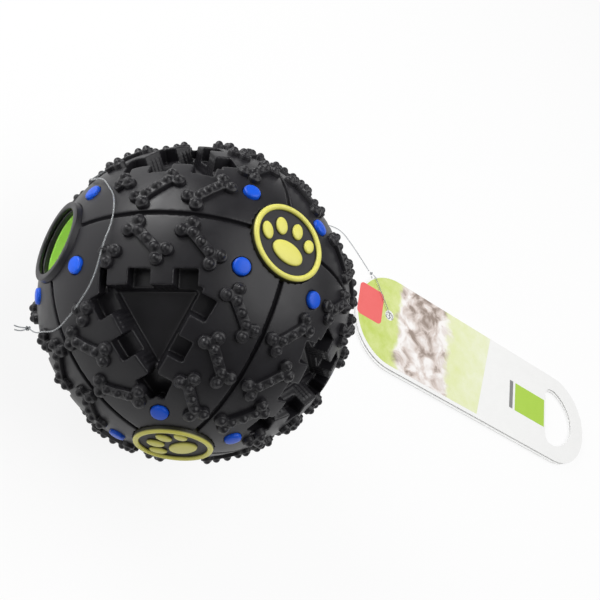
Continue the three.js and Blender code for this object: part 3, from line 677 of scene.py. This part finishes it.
def pocket_frame(band):
    """Columns: outward over the band, along the band, and out along the pocket axis."""
    outward = (POCKET_AXIS / math.sqrt(3) - band["pole"]).normalized()
    side = POCKET_AXIS.cross(outward)
    forward = 1 if side.dot(band["to"] - band["from"]) > 0 else -1
    return Matrix((outward, side, POCKET_AXIS)).transposed().to_4x4(), forward


def groove_ring(axis):
    ring = rod(REACH, -HALF_GROOVE, HALF_GROOVE, sides=192)
    cut(ring, rod(GROOVE_FLOOR, -2, 2, sides=192))
    return place(ring, aim(axis, up_for(axis)))


def tooth_ribs(band):
    """Fine upright ribs on the inner face of each tooth of a band."""
    matrix, forward = pocket_frame(band)
    slope = (POCKET_TOOTH_INRADIUS - POCKET_LEDGE_INRADIUS) / (POCKET_TOOTH_HEIGHT - POCKET_LEDGE)
    low = POCKET_LEDGE - 0.5
    ribs = []
    for place_along in (-1.5, -0.5, 0.5, 1.5):
        if any(start < place_along < end for start, end in band["notches"]):
            continue
        tooth = place_along * forward
        wide = math.hypot(POCKET_TOOTH_INRADIUS, place_along * NOTCH_PITCH)
        high = math.sqrt(LAND_RADIUS ** 2 - wide ** 2) - RIB_STOP
        for step in (-1, 0, 1):
            rib = rod(RIB_RADIUS, 0, (high - low) * math.hypot(1, slope), sides=12)
            place(rib, Matrix.Rotation(math.atan(slope), 4, "Y"))
            start = POCKET_LEDGE_INRADIUS + slope * (low - POCKET_LEDGE)
            place(rib, Matrix.Translation((start, tooth * NOTCH_PITCH + step * RIB_PITCH, low)))
            ribs.append(place(rib, matrix))
    return ribs


def tread_block(beside_mouth):
    """The rubber in the octant towards the mouth, the front and the top: a land with its
    grooves, the toothed pocket, and the seats of three studs and of its corner pieces."""
    block = slab((-REACH, -REACH, 0), (0, 0, REACH))
    cut(block, ball(LAND_RADIUS, segments=192), "INTERSECT")
    for axis in (X, Y, Z):
        cut(block, groove_ring(axis))
    hollow = bisected(ball(WALL_INSIDE), POCKET_AXIS * POCKET_BACK, POCKET_AXIS)
    cut(block, hollow)
    slope = (POCKET_TOOTH_INRADIUS - POCKET_LEDGE_INRADIUS) / (POCKET_TOOTH_HEIGHT - POCKET_LEDGE)
    mouth_inradius = POCKET_LEDGE_INRADIUS + slope * (REACH - POCKET_LEDGE)
    cut(block, triangle(POCKET_LEDGE_INRADIUS, POCKET_LEDGE, REACH, mouth_inradius))
    cut(block, triangle(POCKET_FLOOR_INRADIUS, POCKET_FLOOR, POCKET_LEDGE + 1))
    for band in BANDS:
        matrix, forward = pocket_frame(band)
        for notch in band["notches"]:
            start, end = sorted(edge * forward * NOTCH_PITCH for edge in notch)
            box = place(slab((NOTCH_START, start, POCKET_BACK), (NOTCH_REACH, end, REACH)), matrix)
            cut(block, cut(box, ball(NOTCH_FLOOR, segments=128)))
    for pole, first, second in ((MOUTH, FRONT, TOP), (FRONT, MOUTH, TOP), (TOP, MOUTH, FRONT)):
        axis = stud_axis(pole, first, second)
        seat = rod(STUD_RADIUS + 0.1, STUD_BASE - 0.1, REACH, sides=48)
        cut(block, place(seat, aim(axis, up_for(axis))))
        if pole == MOUTH and beside_mouth:
            cut(block, place(rod(LIP_RADIUS - 0.1, NECK_TOP - 1, REACH), aim(pole, Z)))
            cut(block, place(rod(NECK_RADIUS - 0.1, NECK_END - 4, NECK_TOP), aim(pole, Z)))
        else:
            corner = rod(EMBLEM_RADIUS + 0.1, EMBLEM_BASE - 0.1, REACH)
            cut(block, place(corner, aim(pole, up_for(pole))))
    ribs = [rib for band in BANDS for rib in tooth_ribs(band)]
    return moulded(joined([block, *ribs], "tread_block"), BLOCK_VOXEL, BLOCK_KEEP)


def bent_over_ball(piece):
    """Wraps a piece drawn flat round +Z at height 0 over the lands."""
    for vertex in piece.data.vertices:
        flat = Vector((vertex.co.x, vertex.co.y, LAND_RADIUS))
        vertex.co = flat.normalized() * (LAND_RADIUS + vertex.co.z)
    return piece


def tread_bone():
    """A bone: two knuckles of two lobes, a shaft, and a row of round beads on top."""
    parts = []
    for x in (-KNUCKLE[0], KNUCKLE[0]):
        for y in (-KNUCKLE[1], KNUCKLE[1]):
            lobe = rod(KNUCKLE_RADIUS + 0.25, -BONE_ROOT, BONE_RISE, 48, KNUCKLE_RADIUS - 0.1)
            parts.append(place(lobe, Matrix.Translation((x, y, 0))))
            parts.append(ball(BEAD_RADIUS, (x, y, BONE_RISE - 0.05), 32))
    half, wide = KNUCKLE[0], SHAFT_WIDTH / 2
    parts.append(slab((-half, -wide, -BONE_ROOT), (half, wide, BONE_RISE)))
    for x in SHAFT_BEADS:
        parts.append(ball(BEAD_RADIUS, (x, 0, BONE_RISE - 0.05), 32))
    return moulded(joined(parts, "tread_bone"), BONE_VOXEL, BONE_KEEP)


def bone_places(band):
    """Where each bone of a band lies, and whether it is near the mouth, judged from its distance
    from the mouth in degrees.
    """
    places = []
    for position in band["bones"]:
        angle = math.radians(position)
        centre = band_point(band, angle, BONE_LATITUDE)
        east = band_point(band, angle + math.pi / 2, 0)
        north = band_point(band, angle, BONE_LATITUDE + math.pi / 2)
        along = east * band["lean"] * math.cos(BONE_LEAN) + north * math.sin(BONE_LEAN)
        frame_of = Matrix((along, centre.cross(along), centre)).transposed().to_4x4()
        from_mouth = position if band["from"] == MOUTH else 90 - position
        near = band["pole"] != MOUTH and from_mouth < HALF_BONE_REACH
        places.append((frame_of, near))
    return places


def build_ball():
    bone = tread_bone()
    half_bone = copy_of(bone, "half_bone", Matrix.Identity(4))
    bisected(half_bone, (HALF_BONE_START, 0, 0), (1, 0, 0), keep_below=False)
    bent_over_ball(bone)
    bent_over_ball(half_bone)
    blocks = {True: tread_block(True), False: tread_block(False)}
    for along_x, x_name in ((1, "mouth"), (-1, "rear")):
        half = f"shell_{x_name}_half"
        for along_y, y_name in ((1, "front"), (-1, "back")):
            for along_z, z_name in ((1, "top"), (-1, "bottom")):
                octant = f"{x_name}_{y_name}_{z_name}"
                mirror = Matrix.Diagonal((along_x, along_y, along_z, 1))
                block = copy_of(blocks[along_x > 0], "block", mirror)
                finished(block, f"tread_block_{octant}", BLACK_RUBBER,
                         replaces=[half])
                bones = []
                for band in BANDS:
                    for frame_of, near in bone_places(band):
                        source = half_bone if near and along_x > 0 else bone
                        bones.append(copy_of(source, "bone", mirror @ frame_of))
                group = joined(bones, "bones")
                finished(group, f"tread_bones_{octant}", BLACK_RUBBER,
                         replaces=[half])
    for piece in (bone, half_bone, *blocks.values()):
        bpy.data.objects.remove(piece)


# Studs and emblems

def build_studs():
    stud = turned("stud", [
        (0, STUD_BASE), (STUD_RADIUS, STUD_BASE), (STUD_RADIUS, STUD_TOP - 0.55),
        (STUD_RADIUS - 0.22, STUD_TOP - 0.15), (STUD_RADIUS - 0.75, STUD_TOP + 0.05),
        (1.1, STUD_TOP + 0.18), (0, STUD_TOP + 0.2)], steps=48, soften=0)
    number = 0
    for pole in (X, Y, Z):
        first, second = [axis for axis in (X, Y, Z) if axis is not pole]
        for end in (1, -1):
            for a, b in ((1, 1), (1, -1), (-1, -1), (-1, 1)):
                number += 1
                axis = stud_axis(pole * end, first * a, second * b)
                copy = copy_of(stud, "stud", aim(axis, up_for(axis)))
                finished(copy, f"stud_{number:02d}_domed", BLUE_RUBBER,
                         replaces=[f"stud_{number:02d}"])
    bpy.data.objects.remove(stud)


def emblem_pad(x, y, width, height, tilt):
    """A pillow-shaped pad."""
    pad = turned("pad", [
        (0, FIELD_TOP - 0.8), (1, FIELD_TOP - 0.8), (1, FIELD_TOP + 0.4), (0.97, FIELD_TOP + 0.68),
        (0.88, FIELD_TOP + 0.92), (0.74, FIELD_TOP + 1.08), (0.52, FIELD_TOP + 1.18),
        (0.26, FIELD_TOP + 1.24), (0, FIELD_TOP + 1.26)], steps=48, soften=0)
    place(pad, Matrix.Diagonal((width / 2, height / 2, 1, 1)))
    place(pad, Matrix.Rotation(math.radians(tilt), 4, "Z"))
    return place(pad, Matrix.Translation((x, y, 0)))


def build_emblems():
    middle = EMBLEM_RADIUS - RING_WIDTH / 2
    half = RING_WIDTH / 2
    crown = [(middle + half * math.cos(math.radians(a)),
              EMBLEM_TOP - half + half * math.sin(math.radians(a))) for a in range(0, 181, 15)]
    ring = turned("ring", [
        (EMBLEM_RADIUS, EMBLEM_BASE), *crown, (EMBLEM_RADIUS - RING_WIDTH, EMBLEM_BASE)],
        steps=96, soften=0)
    pads = [emblem_pad(*pad) for pad in (*TOES, MAIN_PAD)]
    medallion = joined([ring, *pads], "medallion")
    field = turned("field", [
        (0, EMBLEM_BASE), (EMBLEM_RADIUS - RING_WIDTH + 0.05, EMBLEM_BASE),
        (EMBLEM_RADIUS - RING_WIDTH + 0.05, FIELD_TOP), (0, FIELD_TOP)], steps=96, soften=0)
    for name, (axis, toes) in EMBLEMS.items():
        copy = copy_of(medallion, "medallion", aim(axis, toes))
        finished(copy, f"emblem_{name}_paw", YELLOW_RUBBER,
                 replaces=[f"emblem_{name}_medallion"], flat=50)
        copy = copy_of(field, "field", aim(axis, toes))
        finished(copy, f"emblem_{name}_backing", FIELD_RUBBER,
                 replaces=[f"emblem_{name}_field"], flat=50)
    bpy.data.objects.remove(medallion)
    bpy.data.objects.remove(field)


# Mouth and sound cartridge

def build_mouth():
    facing = aim(MOUTH, Z)
    seat = MOUTH_RADIUS + SEAT_DEPTH
    lip = turned("lip", [
        (MOUTH_RADIUS, COLLAR_FACE), (MOUTH_RADIUS, LIP_FACE), (LIP_RADIUS, LIP_FACE),
        (LIP_RADIUS, NECK_TOP), (NECK_RADIUS, NECK_TOP), (NECK_RADIUS, NECK_END),
        (FLANGE_RADIUS + 0.1, NECK_END), (FLANGE_RADIUS + 0.1, THROAT_FACE),
        (seat, THROAT_FACE), (seat, COLLAR_FACE)], 96, 0.45)
    finished(place(lip, facing), "mouth_lip_and_neck", BLACK_RUBBER,
             replaces=["shell_mouth_half"], flat=60)
    bore, rim, head = MOUTH_RADIUS - COLLAR_LIP, seat - COLLAR_FIT, COLLAR_FACE - STOP_PLAY
    collar = turned("collar", [(bore, COLLAR_LOW), (rim, COLLAR_LOW), (rim, head), (bore, head)], 96)
    finished(place(collar, facing), "mouth_collar_turned", BLACK_PLASTIC,
             replaces=["mouth_collar"], flat=60)
    face = THROAT_FACE - STOP_PLAY
    nose = COLLAR_LOW - 0.1
    foot, under = face - THROAT_LENGTH, face - FLANGE_THICKNESS
    throat = turned("throat", [
        (THROAT_BORE, foot), (THROAT_TUBE_RADIUS, foot), (THROAT_TUBE_RADIUS, under),
        (FLANGE_RADIUS, under), (FLANGE_RADIUS, face), (NOSE_RADIUS, face), (NOSE_RADIUS, nose),
        (THROAT_BORE, nose)], 96)
    finished(place(throat, facing), "mouth_throat_tube", LIME_PLASTIC,
             replaces=["mouth_throat"], flat=60)
    top = THROAT_FACE - CLAMP_DROP
    low = top - CLAMP_HEIGHT
    ring = turned("ring", [
        (CLAMP_BORE, low), (FLANGE_RADIUS, low), (FLANGE_RADIUS, top), (CLAMP_BORE, top)], 96)
    finished(place(ring, facing), "throat_clamp_ring_turned", BLACK_PLASTIC,
             replaces=["throat_clamp_ring"], flat=60)


def build_cartridge():
    """The pieces of the sound cartridge are turned again from their solids' sizes."""
    low, high = [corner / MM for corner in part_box("sound_barrel")]
    barrel = turned("barrel", [
        (BARREL_BORE, low.x), (BARREL_RADIUS, low.x), (BARREL_RADIUS, high.x),
        (BARREL_BORE, high.x)], 72, 0.2)
    finished(place(barrel, aim(X, Z)), "sound_barrel_tube", LIME_PLASTIC,
             replaces=["sound_barrel"], flat=60)
    inner, outer = CAP_PLUG
    cap_profile = [
        (CAP_BORE, 0), (inner, 0), (inner, -CAP_PLUG_DEPTH), (outer, -CAP_PLUG_DEPTH), (outer, 0),
        (CAP_RADIUS, 0), (CAP_RADIUS, CAP_THICKNESS), (CAP_BORE, CAP_THICKNESS)]
    for name, end, axis in (("rear", high.x, X), ("front", low.x, -X)):
        cap = turned("cap", cap_profile, 72, 0.3)
        place(cap, Matrix.Translation((end, 0, 0)) @ aim(axis, Z))
        finished(cap, f"sound_{name}_cap_turned", WHITE_PLASTIC,
                 replaces=[f"sound_{name}_cap"], flat=60)
    low, high = [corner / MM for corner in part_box("reed_weight")]
    weight = turned("weight", [
        (WEIGHT_BORE, low.x), (WEIGHT_RADIUS, low.x), (WEIGHT_RADIUS, high.x),
        (WEIGHT_BORE, high.x)], 72, 0.3)
    finished(place(weight, aim(X, Z)), "reed_weight_turned", BRASS,
             body="reed_carriage", replaces=["reed_weight"], flat=60)
    for name, finish in (("reed_block", WHITE_PLASTIC), ("reed_tongue", BRASS)):
        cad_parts[name].data.materials.clear()
        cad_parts[name].data.materials.append(finish)
    socket = turned("socket", [
        (0, SOCKET_FLOOR), (SOCKET_BORE, SOCKET_FLOOR), (SOCKET_BORE, SOCKET_RIM),
        (SOCKET_RADIUS, SOCKET_RIM), (SOCKET_RADIUS, SOCKET_SEAT), (0, SOCKET_SEAT)], 72, 0.3)
    finished(place(socket, aim(X, Z)), "cartridge_socket", BLACK_RUBBER,
             replaces=["shell_rear_half"], flat=60)


# Hang tag

TAG_LENGTH = 185
TAG_WIDTH = 54.5
TAG_CORNER = 27
CARD_THICKNESS = 0.4
TAG_HOLE = (23.2, 2.8)      # from the left end, and from the middle line
TAG_HOLE_RADIUS = 3
SLOT_STRAIGHT = 150.5       # the slot's straight side, from the left end
SLOT_WIDTH = 23.5
SLOT_HALF_LENGTH = 18
BACK_LEAF_SHORTER = 3
BACK_LEAF_SLIP = 1.5
INK = 0.03
# The tag is drawn along +X from its left end, then laid down here.
TAG_PLACE = (Matrix.Translation((213.5, 64.5, 0)) @ Matrix.Rotation(math.radians(-5), 4, "Z")
             @ Matrix.Translation((-TAG_LENGTH / 2, 0, 0)))


def rounded_corners(piece, radius, segments=20):
    """Rounds the upright edges of a flat piece."""
    only(piece)
    bpy.ops.object.mode_set(mode="EDIT")
    bpy.ops.mesh.select_mode(type="EDGE")
    bpy.ops.mesh.select_all(action="DESELECT")
    bpy.ops.object.mode_set(mode="OBJECT")
    for edge in piece.data.edges:
        ends = [piece.data.vertices[corner].co for corner in edge.vertices]
        edge.select = (ends[0] - ends[1]).xy.length < 0.001
    bpy.ops.object.mode_set(mode="EDIT")
    bpy.ops.mesh.bevel(offset=radius, segments=segments, affect="EDGES")
    bpy.ops.mesh.select_mode(type="VERT")
    bpy.ops.object.mode_set(mode="OBJECT")
    return piece


def hang_slot():
    """A shop hook's slot: straight towards the ball, bulging away from it."""
    bulge = place(rod(1, -80, 0, 96), Matrix.Diagonal((SLOT_WIDTH, SLOT_HALF_LENGTH + 1.2, 1, 1)))
    place(bulge, Matrix.Translation((SLOT_STRAIGHT, 0, 0)))
    frame_of = slab((SLOT_STRAIGHT, -SLOT_HALF_LENGTH, -70),
                    (SLOT_STRAIGHT + 60, SLOT_HALF_LENGTH, -40))
    return cut(bulge, rounded_corners(frame_of, 5, 10), "INTERSECT")


def tag_leaf(left, right, half_width, low, high):
    """A round-ended leaf with its thread hole and its slot."""
    leaf = slab((left, -half_width, low), (right, half_width, high))
    rounded_corners(leaf, min(TAG_CORNER, half_width - 0.25))
    punch = rod(TAG_HOLE_RADIUS, low - 1, high + 1, 40)
    cut(leaf, place(punch, Matrix.Translation((*TAG_HOLE, 0))))
    return cut(leaf, hang_slot())


def printed(name, finish, corners, round_by=0.0):
    """A flat patch of ink between two corners on the front leaf."""
    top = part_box("tag_front_leaf")[1].z / MM
    (left, bottom), (right, head) = corners
    patch = slab((left, bottom, top - 0.02), (right, head, top + 2 * INK))
    if round_by:
        rounded_corners(patch, round_by, 8)
    return finished(place(patch, TAG_PLACE), name, finish, flat=30)


def build_tag():
    half = TAG_WIDTH / 2
    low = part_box("tag_back_leaf")[0].z / MM
    leaf = tag_leaf(0, TAG_LENGTH - BACK_LEAF_SHORTER, half, low, low + CARD_THICKNESS)
    place(leaf, TAG_PLACE @ Matrix.Translation((0, -BACK_LEAF_SLIP, 0)))
    finished(leaf, "tag_back_leaf_card", CARD, replaces=["tag_back_leaf"], flat=30)
    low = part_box("tag_front_leaf")[0].z / MM
    high = low + CARD_THICKNESS
    leaf = tag_leaf(0, TAG_LENGTH, half, low, high)
    finished(place(leaf, TAG_PLACE), "tag_front_leaf_card", CARD,
             replaces=["tag_front_leaf"], flat=30)
    panel = tag_leaf(1.6, TAG_LENGTH, half - 1.2, high - 0.02, high + INK)
    place(panel, Matrix.Translation((0, 1, 0)))
    bisected(panel, (96.6, 0, 0), Vector((50.7, -7.7, 0)).normalized())
    finished(place(panel, TAG_PLACE), "tag_print_grass", MEADOW, flat=30)
    printed("tag_print_red_patch", RED_INK, ((1.2, -5), (18, 14.5)), 2.6)
    printed("tag_print_green_patch", GREEN_INK, ((123.5, -9.5), (149.2, 8.2)))
    printed("tag_print_grey_bar", GREY_INK, ((118.8, -9.3), (121.6, 8.3)))


# Light and floor, in metres and watts

WORLD_LIGHT = 0.2
FLOOR_GLOW = 0.88
SNOOT_PLACE = Vector((-0.35, -0.22, 0.25))
SNOOT_POWER = 9
SNOOT_ANGLE = math.radians(4.2)
LAMPS = (
    ("key softbox", (-0.62, 0.5, 0.28), 0.42, 5.0),
    ("overhead softbox", (0.25, 0.06, 0.72), 0.85, 5.8),
    ("left softbox", (-0.78, -0.06, 0.3), 0.5, 1.0),
)


def build_stage():
    bpy.ops.object.select_all(action="DESELECT")
    floor_height = CAD_BOUNDS[0][2]
    bpy.ops.mesh.primitive_plane_add(size=12, location=(0, 0, floor_height))
    floor = bpy.context.object
    floor.name = "floor"
    white = bpy.data.materials.new("plain white floor")
    white.use_nodes = True
    tree = white.node_tree
    shader = next(n for n in tree.nodes if n.type == "BSDF_PRINCIPLED")
    shader.inputs["Base Color"].default_value = linear("#EDEDED")
    shader.inputs["Roughness"].default_value = 0.9
    output = next(n for n in tree.nodes if n.type == "OUTPUT_MATERIAL")
    rays = node(tree, "ShaderNodeLightPath")
    seen = node(tree, "ShaderNodeMath", {
        0: rays.outputs["Is Camera Ray"], 1: rays.outputs["Is Glossy Ray"]}, operation="ADD")
    seen = node(tree, "ShaderNodeMath", {
        0: seen.outputs[0], 1: rays.outputs["Is Transmission Ray"]}, operation="ADD")
    amount = node(tree, "ShaderNodeMath", {0: seen.outputs[0], 1: FLOOR_GLOW}, operation="MULTIPLY")
    glow = node(tree, "ShaderNodeEmission", {"Color": (1, 1, 1, 1), "Strength": 1.0})
    blend = node(tree, "ShaderNodeMixShader", {
        0: amount.outputs[0], 1: shader.outputs[0], 2: glow.outputs[0]})
    tree.links.new(blend.outputs[0], output.inputs["Surface"])
    floor.data.materials.append(white)

    world = bpy.data.worlds.new("studio")
    bpy.context.scene.world = world
    world.use_nodes = True
    tree = world.node_tree
    background = next(n for n in tree.nodes if n.type == "BACKGROUND")
    background.inputs["Color"].default_value = (1, 1, 1, 1)
    rays = node(tree, "ShaderNodeLightPath")
    seen = node(tree, "ShaderNodeMath", {
        0: rays.outputs["Is Camera Ray"], 1: rays.outputs["Is Transmission Ray"]}, operation="ADD")
    strength = node(tree, "ShaderNodeMapRange", {
        "Value": seen.outputs[0], "To Min": WORLD_LIGHT, "To Max": 1.0})
    tree.links.new(strength.outputs[0], background.inputs["Strength"])

    for name, where, size, power in LAMPS:
        data = bpy.data.lights.new(name, "AREA")
        data.size = size
        data.energy = power
        lamp = bpy.data.objects.new(name, data)
        bpy.context.scene.collection.objects.link(lamp)
        lamp.location = where
        lamp.rotation_euler = (-Vector(where)).to_track_quat("-Z", "Y").to_euler()

    data = bpy.data.lights.new("snoot into the mouth", "SPOT")
    data.energy = SNOOT_POWER
    data.shadow_soft_size = 0.02
    data.spot_size = SNOOT_ANGLE
    data.spot_blend = 0.4
    lamp = bpy.data.objects.new("snoot into the mouth", data)
    bpy.context.scene.collection.objects.link(lamp)
    lamp.location = SNOOT_PLACE
    towards = MOUTH * THROAT_FACE * MM - lamp.location
    lamp.rotation_euler = towards.to_track_quat("-Z", "Y").to_euler()


set_camera()
build_tag()
tie_thread()
build_ball()
build_studs()
build_emblems()
build_mouth()
build_cartridge()
build_stage()
